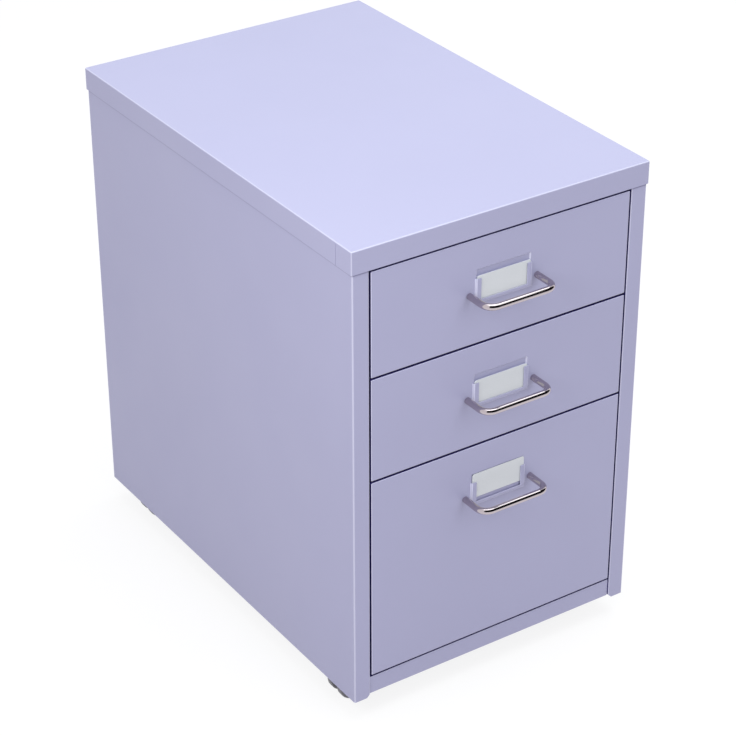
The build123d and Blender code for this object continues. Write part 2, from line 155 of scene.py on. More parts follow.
floor_paint, tree, output = start_material("floor_paint")
bounce = add_node(tree, "ShaderNodeBsdfDiffuse", -200, 100, {"Color": (0.53, 0.50, 0.48, 1)})
shaded = add_node(tree, "ShaderNodeBsdfDiffuse", -200, -50, {"Color": (0.17, 0.17, 0.17, 1)})
glow = add_node(tree, "ShaderNodeEmission", -200, -200, {"Color": (0.85, 0.85, 0.85, 1)})
bright = add_node(tree, "ShaderNodeAddShader", 0, -100, {0: (shaded, "BSDF"), 1: (glow, "Emission")})
mix = split_by_ray(tree, (bounce, "BSDF"), (bright, "Shader"))
join(tree, mix, "Shader", output, "Surface")
floor.data.materials.append(floor_paint)
print("made the floor,", 2 * floor_reach, "m wide and deep")

# %% World
world = bpy.data.worlds.new("pale_room")
bpy.context.scene.world = world
world.use_nodes = True
tree = world.node_tree
tree.nodes.clear()
output = add_node(tree, "ShaderNodeOutputWorld", 600, 0)
pale_light = {"Color": (0.91, 0.91, 1.0, 1), "Strength": 0.74}
white_wall = {"Color": (1, 1, 1, 1), "Strength": 1.0}
room_light = add_node(tree, "ShaderNodeBackground", -200, 100, pale_light)
backdrop = add_node(tree, "ShaderNodeBackground", -200, -50, white_wall)
mix = split_by_ray(tree, (room_light, "Background"), (backdrop, "Background"))
join(tree, mix, "Shader", output, "Surface")
print("made the world", world.name)

# %% [markdown]
# ## Lamps
# A wide soft lamp overhead makes the lid the palest face, as in the picture, and the chrome shows
# it as a clean white stripe. One lamp faces the drawers and a nearer one faces the left side, so
# that side is brightest towards its upper front corner. Small hard lamps would leave shadows that
# the picture hasn't.

# %% Lamps
def soft_lamp(name, place, aim, side, power, tint):
    data = bpy.data.lights.new(name, "AREA")
    data.shape = "RECTANGLE"
    data.size, data.size_y = side, side
    data.energy = power
    data.color = tint
    lamp = bpy.data.objects.new(name, data)
    way = Vector(aim) - Vector(place)
    turned = way.to_track_quat("-Z", "Y").to_matrix().to_4x4()
    lamp.matrix_world = Matrix.Translation(place) @ turned
    bpy.context.collection.objects.link(lamp)
    print("hung", name, "with", power, "W")
    return lamp


soft_lamp(
    "overhead_lamp", place=(0.5, -0.1, 2.8), aim=(0.0, 0.0, 0.6),
    side=2.4, power=35.5, tint=(0.94, 1.0, 0.96),
)
front_lamp = soft_lamp(
    "front_lamp", place=(0.9, -3.4, 2.4), aim=(0.0, 0.0, 0.5),
    side=2.0, power=19.5, tint=(0.99, 0.99, 1.0),
)
side_lamp = soft_lamp(
    "side_lamp", place=(-1.1, -0.65, 1.2), aim=(-0.2, -0.2, 0.5),
    side=0.6, power=6.5, tint=(0.98, 0.98, 1.0),
)
front_lamp.visible_glossy = False
side_lamp.visible_glossy = False

# %% [markdown]
# ## Dark card beside the camera
# A polished wire shows the whole room. Photographers hang a black card in front of such metal, so
# that a crisp dark band lies between the lamp's white stripe and the pale floor. This card is a
# curved wall that only mirror rays can see: it shades nothing and never shows itself.

# %% Dark card
wall_radius, wall_height, wall_lift, wall_steps = 3.2, 5.2, 0.2, 48
wall_back, wall_left = -0.4, -2.4


def new_parts(kind, made):
    return [element for element in made if isinstance(element, kind)]


card_bm = bmesh.new()
bmesh.ops.create_circle(card_bm, cap_ends=False, radius=wall_radius, segments=wall_steps)
raised = bmesh.ops.extrude_edge_only(card_bm, edges=card_bm.edges[:])["geom"]
bmesh.ops.translate(card_bm, verts=new_parts(bmesh.types.BMVert, raised), vec=(0, 0, wall_height))
unused = [v for v in card_bm.verts if v.co.y > wall_back or v.co.x < wall_left]
bmesh.ops.delete(card_bm, geom=unused, context="VERTS")
bmesh.ops.translate(card_bm, verts=card_bm.verts, vec=(0, 0, wall_lift))
dark_card = add_object(card_bm, "dark_card")
dark_card.visible_camera = False
dark_card.visible_diffuse = False
dark_card.visible_shadow = False
dark_card.visible_transmission = False
black_felt, tree, output = start_material("black_felt")
felt = add_node(tree, "ShaderNodeBsdfDiffuse", 300, 0, {"Color": (0.01, 0.01, 0.012, 1)})
join(tree, felt, "BSDF", output, "Surface")
dark_card.data.materials.append(black_felt)
print("made", dark_card.name, "with", len(dark_card.data.polygons), "faces")

# %% [markdown]
# ## Shared effects
# Real finishes are never even, and some highlight and shade is painted into the colour here as well.
# Seven effects are used by several finishes or are long to read, so each is a node group with its
# own cell. All read Object coordinates, so a pattern stays on its piece when a drawer slides out.
# They could be painted on a picture, but a formula has no seams.

# %% Start a node group
mid_grey = (0.5, 0.5, 0.5, 1)


def socket_kind(value):
    if isinstance(value, float):
        return "NodeSocketFloat"
    return "NodeSocketColor" if len(value) == 4 else "NodeSocketVector"


def start_group(name, inputs, out_name, out_kind):
    group = bpy.data.node_groups.new(name, "ShaderNodeTree")
    for socket_name, value in inputs.items():
        socket = group.interface.new_socket(
            name=socket_name, in_out="INPUT", socket_type=socket_kind(value)
        )
        socket.default_value = value
    group.interface.new_socket(name=out_name, in_out="OUTPUT", socket_type=out_kind)
    source = add_node(group, "NodeGroupInput", -800, 0)
    result = add_node(group, "NodeGroupOutput", 800, 0)
    place = add_node(group, "ShaderNodeTexCoord", -800, -300)
    return group, source, result, place


def add_noise(group, source, place, detail):
    feeds = {"Vector": (place, "Object"), "Scale": (source, "Scale"), "Detail": detail}
    return add_node(group, "ShaderNodeTexNoise", -500, -200, feeds)


# %% [markdown]
# ### Tone drift
# No paint or plating has quite one tone. A soft noise makes the colour a little lighter here and
# darker there, by a share that each finish sets. One flat colour would look like a diagram.

# %% Tone drift
tone_drift, source, result, place = start_group(
    "tone_drift", {"Color": mid_grey, "Spread": 0.1, "Scale": 3.0}, "Color", "NodeSocketColor"
)
cloud = add_noise(tone_drift, source, place, 3.0)
centred = add_math(tone_drift, "SUBTRACT", -300, -200, (cloud, "Fac"), 0.5)
strength = add_math(tone_drift, "MULTIPLY", -100, -200, (centred, "Value"), (source, "Spread"))
level = add_math(tone_drift, "ADD", 100, -200, (strength, "Value"), 1.0)
feeds = {"Value": (level, "Value"), "Color": (source, "Color")}
shade = add_node(tone_drift, "ShaderNodeHueSaturation", 400, 0, feeds)
join(tone_drift, shade, "Color", result, "Color")

# %% [markdown]
# ### Powder bumps
# Powder paint melts into a skin of very fine bumps, and card and moulded plastic have a like grain.
# A fine noise only tilts the surface here, because bumps this small would cost millions of faces.

# %% Powder bumps
powder_bumps, source, result, place = start_group(
    "powder_bumps", {"Scale": 700.0, "Strength": 0.1, "Depth": 0.0002}, "Normal", "NodeSocketVector"
)
fine = add_noise(powder_bumps, source, place, 2.0)
feeds = {"Height": (fine, "Fac"), "Strength": (source, "Strength"), "Distance": (source, "Depth")}
bump = add_node(powder_bumps, "ShaderNodeBump", 200, -100, feeds)
join(powder_bumps, bump, "Normal", result, "Normal")

# %% [markdown]
# ### Painted fold highlight
# This paints a highlight along each fold: the colour of a bend is made paler, in place of the
# bright line that a rounded edge catches from the lamps and the floor. A mask could be painted by
# hand, but the faces of this unit are square to each other, so a surface that leans between two axes
# is a fold. Folds that look upwards have an amount of their own, because they also catch the overhead lamp.

# %% Painted fold highlight
flat_lean, fold_lean = 0.98, 0.89
level_rise, upward_rise = 0.1, 0.4


def blend_colors(group, source, over_name, mask, result):
    # a mix node repeats its socket names for each kind of data, so they go by number here
    feeds = {0: mask, 6: (source, "Color"), 7: (source, over_name)}
    blend = add_node(group, "ShaderNodeMix", 450, 0, feeds, data_type="RGBA")
    join(group, blend, 2, result, "Color")


# This group paints a paler highlight into the colour of every fold.
fold_highlight, source, result, place = start_group(
    "fold_highlight",
    {"Color": mid_grey, "Highlight Color": (1, 1, 1, 1), "Amount": 0.5, "Upper Amount": 0.5},
    "Color", "NodeSocketColor",
)
parts = add_node(fold_highlight, "ShaderNodeSeparateXYZ", -600, -300, {"Vector": (place, "Normal")})
leans = []
for row, axis in enumerate("XYZ"):
    lean = add_math(fold_highlight, "ABSOLUTE", -450, -150 * row, (parts, axis))
    leans.append((lean, "Value"))
wider = add_math(fold_highlight, "MAXIMUM", -300, -100, leans[0], leans[1])
widest = add_math(fold_highlight, "MAXIMUM", -150, -100, (wider, "Value"), leans[2])
turned = add_range(fold_highlight, 0, -100, (widest, "Value"), flat_lean, fold_lean)
upward = add_range(fold_highlight, -200, -400, (parts, "Z"), level_rise, upward_rise)
feeds = {0: (upward, "Result"), 2: (source, "Amount"), 3: (source, "Upper Amount")}
choice = add_node(fold_highlight, "ShaderNodeMix", 0, -400, feeds, data_type="FLOAT")
amount = add_math(fold_highlight, "MULTIPLY", 200, -100, (turned, "Result"), (choice, 0))
blend_colors(fold_highlight, source, "Highlight Color", (amount, "Value"), result)

# %% [markdown]
# ### Recess shade
# The narrow gaps round the drawers are nearly black in the picture. Their walls are painted like
# the rest and here lose their light too slowly, so a painted shade darkens the colour a little way
# in, on walls that stand square to the front and lie between the stiles. Dark strips in the gaps
# would do as well, but they would show as strips once a drawer is open.

# %% Recess shade
recess_start, recess_full, recess_fade = 0.0002, 0.0005, 0.002
square_on = 0.65

# This group paints shade into the colour of the gap walls behind the front plane.
recess_shade, source, result, place = start_group(
    "recess_shade",
    {
        "Color": mid_grey, "Shade Color": (0.1, 0.1, 0.2, 1),
        "Face": 0.0, "Half Width": 0.1, "Reach": 0.004,
    },
    "Color", "NodeSocketColor",
)
parts = add_node(recess_shade, "ShaderNodeSeparateXYZ", -600, -300, {"Vector": (place, "Object")})
facing = add_node(recess_shade, "ShaderNodeSeparateXYZ", -600, -600, {"Vector": (place, "Normal")})
inward = add_math(recess_shade, "SUBTRACT", -400, -100, (parts, "Y"), (source, "Face"))
start = add_range(recess_shade, -200, 0, (inward, "Value"), recess_start, recess_full)
fade_end = add_math(recess_shade, "ADD", -400, -250, (source, "Reach"), recess_fade)
fade = add_range(
    recess_shade, -200, -250, (inward, "Value"), (fade_end, "Value"), (source, "Reach")
)
aside = add_math(recess_shade, "ABSOLUTE", -400, -500, (parts, "X"))
within = add_math(recess_shade, "LESS_THAN", -200, -500, (aside, "Value"), (source, "Half Width"))
toward = add_math(recess_shade, "ABSOLUTE", -400, -700, (facing, "Y"))
square = add_math(recess_shade, "LESS_THAN", -200, -700, (toward, "Value"), square_on)
depth = add_math(recess_shade, "MULTIPLY", 0, -100, (start, "Result"), (fade, "Result"))
spot = add_math(recess_shade, "MULTIPLY", 0, -500, (within, "Value"), (square, "Value"))
mask = add_math(recess_shade, "MULTIPLY", 200, -100, (depth, "Value"), (spot, "Value"))
blend_colors(recess_shade, source, "Shade Color", (mask, "Value"), result)

# %% [markdown]
# ### Crease under the lid
# A thin darker line runs along the sides where the lid's rim ends, the shade in a very narrow step.
# A wider step would show it too, but would be untrue to the folded sheets, so the paint of the
# sides darkens just below the rim instead.

# %% Crease under the lid
# This group paints the shade of the narrow step under the rim into the colour of the sides.
crease_shade, source, result, place = start_group(
    "crease_shade",
    {"Color": mid_grey, "Shade Color": (0.1, 0.1, 0.2, 1), "Low": 0.0, "High": 0.1, "Amount": 0.7},
    "Color", "NodeSocketColor",
)
parts = add_node(crease_shade, "ShaderNodeSeparateXYZ", -600, -300, {"Vector": (place, "Object")})
rise = add_range(crease_shade, -200, -100, (parts, "Z"), (source, "Low"), (source, "High"))
mask = add_math(crease_shade, "MULTIPLY", 100, -100, (rise, "Result"), (source, "Amount"))
blend_colors(crease_shade, source, "Shade Color", (mask, "Value"), result)

# %% [markdown]
# ### Handling marks and drawn grain
# Fingers and cloths leave soft patches of more and less gloss, and metal that is rolled or drawn
# has long fine streaks. Both only change the roughness: a noise is spread between two values, and
# for the streaks it is squeezed across the length of the metal first.

# %% Handling marks
marks_low, marks_high, marks_roughness = 0.3, 0.7, 0.6


def spread_gloss(group, source, value, low, high, result):
    spread = add_range(group, 100, 0, value, low, high)
    join(group, source, "Low", spread, "To Min")
    join(group, source, "High", spread, "To Max")
    join(group, spread, "Result", result, "Value")


handling_marks, source, result, place = start_group(
    "handling_marks", {"Scale": 9.0, "Low": 0.3, "High": 0.5}, "Value", "NodeSocketFloat"
)
smear = add_noise(handling_marks, source, place, 4.0)
smear.inputs["Roughness"].default_value = marks_roughness
spread_gloss(handling_marks, source, (smear, "Fac"), marks_low, marks_high, result)

# %% Drawn grain
drawn_grain, source, result, place = start_group(
    "drawn_grain", {"Stretch": (900.0, 12.0, 900.0), "Low": 0.25, "High": 0.45},
    "Value", "NodeSocketFloat",
)
feeds = {0: (place, "Object"), 1: (source, "Stretch")}
pulled = add_node(drawn_grain, "ShaderNodeVectorMath", -500, -200, feeds, operation="MULTIPLY")
feeds = {"Vector": (pulled, "Vector"), "Scale": 1.0, "Detail": 2.0}
streak = add_node(drawn_grain, "ShaderNodeTexNoise", -300, -200, feeds)
spread_gloss(drawn_grain, source, (streak, "Fac"), 0.0, 1.0, result)
print("node groups:", [group.name for group in bpy.data.node_groups])

# %% [markdown]
# ## Powder coat
# The folded steel has a lavender powder coat, half matt, with a skin of very fine bumps that soften
# the lamps. Its folds get a painted highlight, and the gap walls and the sides just below the lid
# get painted shade. The panels take these in different strengths, so one function makes each
# panel's own version of the coat.

# %% Place an effect
def use_group(tree, group, x, y, feeds):
    return add_node(tree, "ShaderNodeGroup", x, y, feeds, node_tree=group)


def start_finish(name):
    material, tree, output = start_material(name)
    shader = add_node(tree, "ShaderNodeBsdfPrincipled", 300, 0)
    join(tree, shader, "BSDF", output, "Surface")
    print("mixing", name)
    return material, tree, shader


# %% Lavender powder coat
lavender = (0.445, 0.447, 0.632, 1)
# the colour of the painted highlight on folds
highlight_lavender = (0.80, 0.81, 0.95, 1)
# the colour of the painted shade in the gaps and below the lid's rim
painted_shade_lavender = (0.034, 0.026, 0.150, 1)
opening_half_width = 0.1775
crease_low, crease_high, crease_amount = 0.0028, 0.0012, 0.5
gap_reach, rail_reach = 0.0042, 0.006


def powder_coat(name, fold_highlight_amount, face=None, rim=None, upper_amount=None, reach=gap_reach):
    material, tree, shader = start_finish(name)
    drift = use_group(
        tree, tone_drift, -900, 200, {"Color": lavender, "Spread": 0.06, "Scale": 4.0}
    )
    last = use_group(tree, fold_highlight, -600, 200, {
        "Color": (drift, "Color"), "Highlight Color": highlight_lavender, "Amount": fold_highlight_amount,
        "Upper Amount": fold_highlight_amount if upper_amount is None else upper_amount,
    })
    if face is not None:
        last = use_group(tree, recess_shade, -300, 200, {
            "Color": (last, "Color"), "Shade Color": painted_shade_lavender,
            "Face": face, "Half Width": opening_half_width, "Reach": reach,
        })
    if rim is not None:
        last = use_group(tree, crease_shade, 0, 200, {
            "Color": (last, "Color"), "Shade Color": painted_shade_lavender,
            "Low": rim - crease_low, "High": rim - crease_high, "Amount": crease_amount,
        })
    skin = use_group(
        tree, powder_bumps, 0, -300, {"Scale": 900.0, "Strength": 0.12, "Depth": 0.0003}
    )
    marks = use_group(tree, handling_marks, 0, -100, {"Scale": 7.0, "Low": 0.36, "High": 0.46})
    join(tree, last, "Color", shader, "Base Color")
    join(tree, marks, "Value", shader, "Roughness")
    join(tree, skin, "Normal", shader, "Normal")
    return material


front_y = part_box("upper_drawer_front")[0].y
rail_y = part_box("front_bottom_rail")[0].y
rim_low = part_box("lid")[0].z
# the coats differ in the strength of their painted fold highlight; the side, front and rail coats also
# paint shade into the gaps, and the side coat below the lid's rim
painted_steel = powder_coat("lavender_powder_coat", 0.4)
lid_coat = powder_coat("lid_powder_coat", 0.5)
holder_coat = powder_coat("label_holder_powder_coat", 0.7)
side_coat = powder_coat("side_panel_powder_coat", 0.55, face=front_y, rim=rim_low)
front_coat = powder_coat("drawer_front_powder_coat", 0.75, face=front_y, upper_amount=0.25)
rail_coat = powder_coat("bottom_rail_powder_coat", 0.3, face=rail_y, reach=rail_reach)

# %% [markdown]
# ## Finish of the small parts
# The pulls are polished and plated wire, the screws and castor plates dull zinc, the slides rolled
# steel, the cards uncoated paper board, and castors and bumpers dark moulded plastic and rubber.
# All are built alike, from a drifting tone, a varied gloss and sometimes a painted highlight on the
# edges or a fine skin, so one function takes the values of each.

# %% Make a plain finish
def plain_finish(name, tone, marks=None, grain=None, skin=None, edges=None, metallic=0.0):
    material, tree, shader = start_finish(name)
    shader.inputs["Metallic"].default_value = metallic
    last = use_group(tree, tone_drift, -300, 200, tone)
    # the edges option paints a highlight on the bends, with the group that paints the fold highlight
    if edges:
        last = use_group(tree, fold_highlight, 0, 200, {"Color": (last, "Color"), **edges})
    if grain:
        gloss = use_group(tree, drawn_grain, 0, -100, grain)
    else:
        gloss = use_group(tree, handling_marks, 0, -100, marks)
    join(tree, last, "Color", shader, "Base Color")
    join(tree, gloss, "Value", shader, "Roughness")
    if skin:
        bumps = use_group(tree, powder_bumps, 0, -300, skin)
        join(tree, bumps, "Normal", shader, "Normal")
    return material


# %% Bright wire, zinc and slide steel
pull_chrome = plain_finish(
    "polished_wire", metallic=1.0,
    tone={"Color": (0.53, 0.47, 0.50, 1), "Spread": 0.05, "Scale": 30.0},
    marks={"Scale": 60.0, "Low": 0.05, "High": 0.13},
)
zinc_steel = plain_finish(
    "zinc_plated_steel", metallic=1.0,
    tone={"Color": (0.60, 0.61, 0.63, 1), "Spread": 0.5, "Scale": 160.0},
    marks={"Scale": 120.0, "Low": 0.28, "High": 0.48},
)
slide_steel = plain_finish(
    "rolled_slide_steel", metallic=1.0,
    tone={"Color": (0.57, 0.58, 0.60, 1), "Spread": 0.2, "Scale": 14.0},
    grain={"Stretch": (1400.0, 9.0, 1400.0), "Low": 0.24, "High": 0.46},
)

# %% Card, castor plastic and bumper rubber
card_stock = plain_finish(
    "white_card_stock",
    tone={"Color": (0.74, 0.775, 0.785, 1), "Spread": 0.05, "Scale": 900.0},
    marks={"Scale": 40.0, "Low": 0.62, "High": 0.75},
    skin={"Scale": 2600.0, "Strength": 0.25, "Depth": 0.0001},
)
castor_plastic = plain_finish(
    "dark_castor_plastic",
    tone={"Color": (0.200, 0.195, 0.215, 1), "Spread": 0.3, "Scale": 60.0},
    # a painted highlight on the castor's rounded edges
    edges={"Highlight Color": (0.30, 0.30, 0.32, 1), "Amount": 0.5},
    marks={"Scale": 90.0, "Low": 0.38, "High": 0.56},
    skin={"Scale": 2200.0, "Strength": 0.3, "Depth": 0.0001},
)
bumper_rubber = plain_finish(
    "grey_bumper_rubber",
    tone={"Color": (0.09, 0.09, 0.095, 1), "Spread": 0.3, "Scale": 120.0},
    marks={"Scale": 90.0, "Low": 0.6, "High": 0.8},
    skin={"Scale": 1800.0, "Strength": 0.3, "Depth": 0.0001},
)

# %% [markdown]
# ## Dressing the CAD nodes
# Each CAD node already has the right shape, so it only gets a finish. The end of a node's name says
# what it is made of, which is easier to follow than picking the nodes one by one. A longer ending
# stands before the shorter one that it holds, and what the list doesn't name is painted steel.

# %% Dress the CAD nodes
finishes = [
    ("_pull_screws", zinc_steel), ("_pull", pull_chrome),
    ("_label_card", card_stock), ("_label_holder", holder_coat),
    ("_members", slide_steel), ("castor_screws", zinc_steel), ("_plate", zinc_steel),
    ("_axle", zinc_steel), ("_housing", castor_plastic), ("_wheels", castor_plastic),
    ("rear_bumpers", bumper_rubber), ("lid", lid_coat), ("_side_panel", side_coat),
    ("_drawer_front", front_coat), ("front_bottom_rail", rail_coat),
]
for name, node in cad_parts.items():
    finish = next((made for ending, made in finishes if name.endswith(ending)), painted_steel)
    node.data.materials.clear()
    node.data.materials.append(finish)
print("dressed", len(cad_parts), "nodes")

# %% [markdown]
# ## Places that the pieces share
# The drawer fronts are flat on one plane, and each pull, holder and card sits at a set distance
# below the top edge of its own front. Reading both from the frame keeps the pieces in their places.

# %% Shared places
mm = 0.001
drawer_names = ("upper_drawer", "middle_drawer", "lower_drawer")
front_tops = {name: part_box(f"{name}_front")[1].z for name in drawer_names}
print("fronts at", round(front_y, 4), "m, tops at", {name: round(z, 4) for name, z in front_tops.items()})

# %% [markdown]
# ## Finishing a piece
# Every piece made below ends alike: doubled points are welded, the faces turn outwards, wide faces
# stay flat while narrow bends are smoothed, and the piece is tied to its body and hides its CAD node.

# %% Finish a piece
weld_gap, flat_area = 0.002 * mm, 25 * mm * mm


def finish_piece(bm, name, body, material, nodes, sharp_angle=35):
    bmesh.ops.remove_doubles(bm, verts=bm.verts, dist=weld_gap)
    bmesh.ops.recalc_face_normals(bm, faces=bm.faces)
    piece = add_object(bm, name)
    mesh = piece.data
    mesh.shade_smooth()
    mesh.set_sharp_from_angle(angle=math.radians(sharp_angle))
    for polygon in mesh.polygons:
        polygon.use_smooth = polygon.area < flat_area
    mesh.materials.append(material)
    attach(piece, body)
    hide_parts(*nodes)
    print("made", name, "with", len(mesh.polygons), "faces")
    return piece


# %% [markdown]
# ## Drawer fronts
# Each front is a shallow pan folded from one sheet, with a narrow slot pressed in above the label
# holder so that a card can be pushed out with a fingertip. It could be a box with modifiers, but
# the pressing needs its own edges: straight cuts mark it out on a flat blank, its inner edges are
# pushed back, small bevels soften every bend, and the edges of the blank are drawn back as walls.

# %% Work on sheet
on_line = 0.001 * mm


def lay_blank(half_width, half_height, middle=(0, 0, 0)):
    bm = bmesh.new()
    place = Matrix.Translation(middle) @ Matrix.Diagonal((half_width, half_height, 1, 1))
    bmesh.ops.create_grid(bm, x_segments=1, y_segments=1, size=1, matrix=place)
    return bm


def stand_up(bm, height):
    place = Matrix.Translation((0, front_y, height)) @ Matrix.Rotation(math.pi / 2, 4, "X")
    bmesh.ops.transform(bm, verts=bm.verts, matrix=place)


def sharp_edges(bm, degrees):
    return [
        edge for edge in bm.edges
        if edge.is_manifold and edge.calc_face_angle() > math.radians(degrees)
    ]


def round_off(bm, geom, reach, segments, affect="EDGES"):
    bmesh.ops.bevel(
        bm, geom=geom, offset=reach, offset_type="OFFSET", segments=segments, profile=0.5,
        affect=affect, clamp_overlap=True, material=-1,
    )


def cut(bm, place, normal, clear=False):
    bmesh.ops.bisect_plane(
        bm, geom=bm.verts[:] + bm.edges[:] + bm.faces[:], plane_co=place, plane_no=normal,
        clear_outer=clear, dist=on_line,
    )


def draw_out(bm, ring, way, stretch=(1, 1)):
    made = bmesh.ops.extrude_edge_only(bm, edges=ring)["geom"]
    verts = new_parts(bmesh.types.BMVert, made)
    bmesh.ops.translate(bm, verts=verts, vec=way)
    bmesh.ops.scale(bm, verts=verts, vec=(*stretch, 1))
    return [edge for edge in new_parts(bmesh.types.BMEdge, made) if all(v in verts for v in edge.verts)]


# %% Drawer fronts
front_depth, front_lip, front_sheet, fold = 16 * mm, 12 * mm, 1.0 * mm, 1.2 * mm
slot_width, slot_drop, slot_step, slot_height = 74 * mm, 37.4 * mm, 0.6 * mm, 9 * mm
slot_return, slot_end, slot_bend = 3 * mm, 1.2 * mm, 0.35 * mm
step_depth, slot_depth = 1.3 * mm, 1.9 * mm
near_line, still_flat, lightly_bent, fully_bent = 0.01 * mm, 0.5, 6, 80


def press_front(drawer):
    low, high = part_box(f"{drawer}_front")
    half_width, half_height = (high.x - low.x) / 2, (high.z - low.z) / 2
    crease = half_height - slot_drop
    step, deep, end = crease - slot_step, crease - slot_height, crease - slot_height - slot_return
    bm = lay_blank(half_width, half_height)
    for x in (slot_width / 2, slot_width / 2 - slot_end):
        cut(bm, (x, 0, 0), (1, 0, 0))
        cut(bm, (-x, 0, 0), (1, 0, 0))
    for y in (crease, step, deep, end):
        cut(bm, (0, y, 0), (0, 1, 0))
    pressed_half = (slot_width - slot_end) / 2
    for y, depth in ((step, step_depth), (deep, slot_depth)):
        line = [v for v in bm.verts if abs(v.co.y - y) < near_line and abs(v.co.x) < pressed_half]
        bmesh.ops.translate(bm, verts=line, vec=(0, 0, -depth))
    bmesh.ops.dissolve_limit(bm, angle_limit=math.radians(still_flat), verts=bm.verts, edges=bm.edges)
    round_off(bm, sharp_edges(bm, lightly_bent), slot_bend, 2)
    ring = draw_out(bm, [edge for edge in bm.edges if edge.is_boundary], (0, 0, -front_depth))
    inner = ((half_width - front_lip) / half_width, (half_height - front_lip) / half_height)
    draw_out(bm, ring, (0, 0, 0), inner)
    round_off(bm, sharp_edges(bm, fully_bent), fold, 5)
    bmesh.ops.recalc_face_normals(bm, faces=bm.faces)
    bmesh.ops.solidify(bm, geom=bm.faces[:], thickness=front_sheet)
    stand_up(bm, (low.z + high.z) / 2)
    name = f"{drawer}_pressed_front"
    return finish_piece(bm, name, drawer, front_coat, [f"{drawer}_front"])


for drawer in drawer_names:
    front = press_front(drawer)
    print("   reaches from", [round(1000 * min(v.co[k] for v in front.data.vertices), 2) for k in range(3)])

# %% [markdown]
# ## Wire pulls
# Each pull is one round bright wire, bent twice, whose two legs meet the drawer front. A curve with
# a round bevel would do, but a ring of edges that is extruded along the straights and spun round
# the bends follows the way the wire is really bent, and leaves even rings for a clean reflection.

# %% Wire pulls
pull_pitch, pull_drop, pull_reach = 92 * mm, 67.4 * mm, 36 * mm
wire_radius, bend_radius, wire_chamfer = 4 * mm, 13 * mm, 0.5 * mm
wire_steps, bend_steps = 40, 14


def ring_verts(ring):
    return list({v for edge in ring for v in edge.verts})


def widen(bm, ring, share, x, z):
    about = Matrix.Translation((-x, 0, -z))
    bmesh.ops.scale(bm, verts=ring_verts(ring), vec=(share, 1, share), space=about)


def turn_corner(bm, ring, centre):
    made = bmesh.ops.spin(
        bm, geom=ring_verts(ring) + ring, cent=centre, axis=(0, 0, 1), dvec=(0, 0, 0),
        angle=math.pi / 2, steps=bend_steps, use_merge=False, use_normal_flip=False, use_duplicate=False,
    )
    return new_parts(bmesh.types.BMEdge, made["geom_last"])


def bend_pull(drawer):
    z = front_tops[drawer] - pull_drop
    bend_y = front_y - pull_reach + bend_radius
    left, right = -pull_pitch / 2, pull_pitch / 2
    foot_radius = wire_radius - wire_chamfer
    wider = wire_radius / foot_radius
    leg = pull_reach - bend_radius - wire_chamfer
    foot = Matrix.Translation((left, front_y, z)) @ Matrix.Rotation(math.pi / 2, 4, "X")
    bm = bmesh.new()
    bmesh.ops.create_circle(bm, cap_ends=False, radius=foot_radius, segments=wire_steps, matrix=foot)
    ring = draw_out(bm, bm.edges[:], (0, -wire_chamfer, 0))
    widen(bm, ring, wider, left, z)
    ring = draw_out(bm, ring, (0, -leg, 0))
    ring = turn_corner(bm, ring, (left + bend_radius, bend_y, z))
    ring = draw_out(bm, ring, (pull_pitch - 2 * bend_radius, 0, 0))
    ring = turn_corner(bm, ring, (right - bend_radius, bend_y, z))
    ring = draw_out(bm, ring, (0, leg, 0))
    ring = draw_out(bm, ring, (0, wire_chamfer, 0))
    widen(bm, ring, 1 / wider, right, z)
    bmesh.ops.holes_fill(bm, edges=bm.edges, sides=0)
    name = f"{drawer}_bright_pull"
    return finish_piece(bm, name, drawer, pull_chrome, [f"{drawer}_pull"])


for drawer in drawer_names:
    bend_pull(drawer)

# %% [markdown]
# ## Label holders
# A label holder is a shallow frame pressed from sheet and painted with the front. Its skirt rises
# out of the front in a soft curve, and the top stays open for the card. It is drawn flat, looking
# at the drawer, then stood up: an inset with depth raises the pressing, bevels round its two
# bends, and straight cuts open the top and the window. Then the sheet gets its thickness, and its
# cut edges are eased.

# %% Label holders
window_width, window_height, window_drop = 62.7 * mm, 26 * mm, 48.4 * mm
side_lip, bottom_lip, holder_reach, skirt, toe_width = 6 * mm, 4 * mm, 2.4 * mm, 1.2 * mm, 0.8 * mm
# the blank starts a little inside the front, so the two never flicker, and its spare top is cut off
holder_sheet, holder_sink, holder_spare = 0.8 * mm, 0.12 * mm, 12 * mm
toe_bend, brow_bend, rim_round, rim_angle = 0.6 * mm, 0.9 * mm, 0.2 * mm, 70


def in_window(face):
    middle = face.calc_center_median()
    return abs(middle.x) < window_width / 2 and middle.y > -window_height


def press_holder(drawer):
    half_width = window_width / 2 + side_lip + skirt + toe_width
    low = -window_height - bottom_lip - skirt - toe_width
    high = holder_spare
    bm = lay_blank(half_width, (high - low) / 2, (0, (low + high) / 2, -holder_sink))
    face = bm.faces[:]
    bmesh.ops.inset_region(
        bm, faces=face, thickness=toe_width, depth=0, use_even_offset=True, use_boundary=True
    )
    toe = face[0].edges[:]
    bmesh.ops.inset_region(
        bm, faces=face, thickness=skirt, depth=holder_reach + holder_sink, use_even_offset=True
    )
    brow = face[0].edges[:]
    round_off(bm, toe, toe_bend, 3)
    round_off(bm, [edge for edge in brow if edge.is_valid], brow_bend, 4)
    cut(bm, (0, 0, 0), (0, 1, 0), clear=True)
    cut(bm, (0, -window_height, 0), (0, 1, 0))
    cut(bm, (-window_width / 2, 0, 0), (1, 0, 0))
    cut(bm, (window_width / 2, 0, 0), (1, 0, 0))
    bmesh.ops.delete(bm, geom=[face for face in bm.faces if in_window(face)], context="FACES")
    bmesh.ops.solidify(bm, geom=bm.faces[:], thickness=holder_sheet)
    round_off(bm, sharp_edges(bm, rim_angle), rim_round, 2)
    stand_up(bm, front_tops[drawer] - window_drop)
    name, node = f"{drawer}_pressed_holder", f"{drawer}_label_holder"
    return finish_piece(bm, name, drawer, holder_coat, [node])


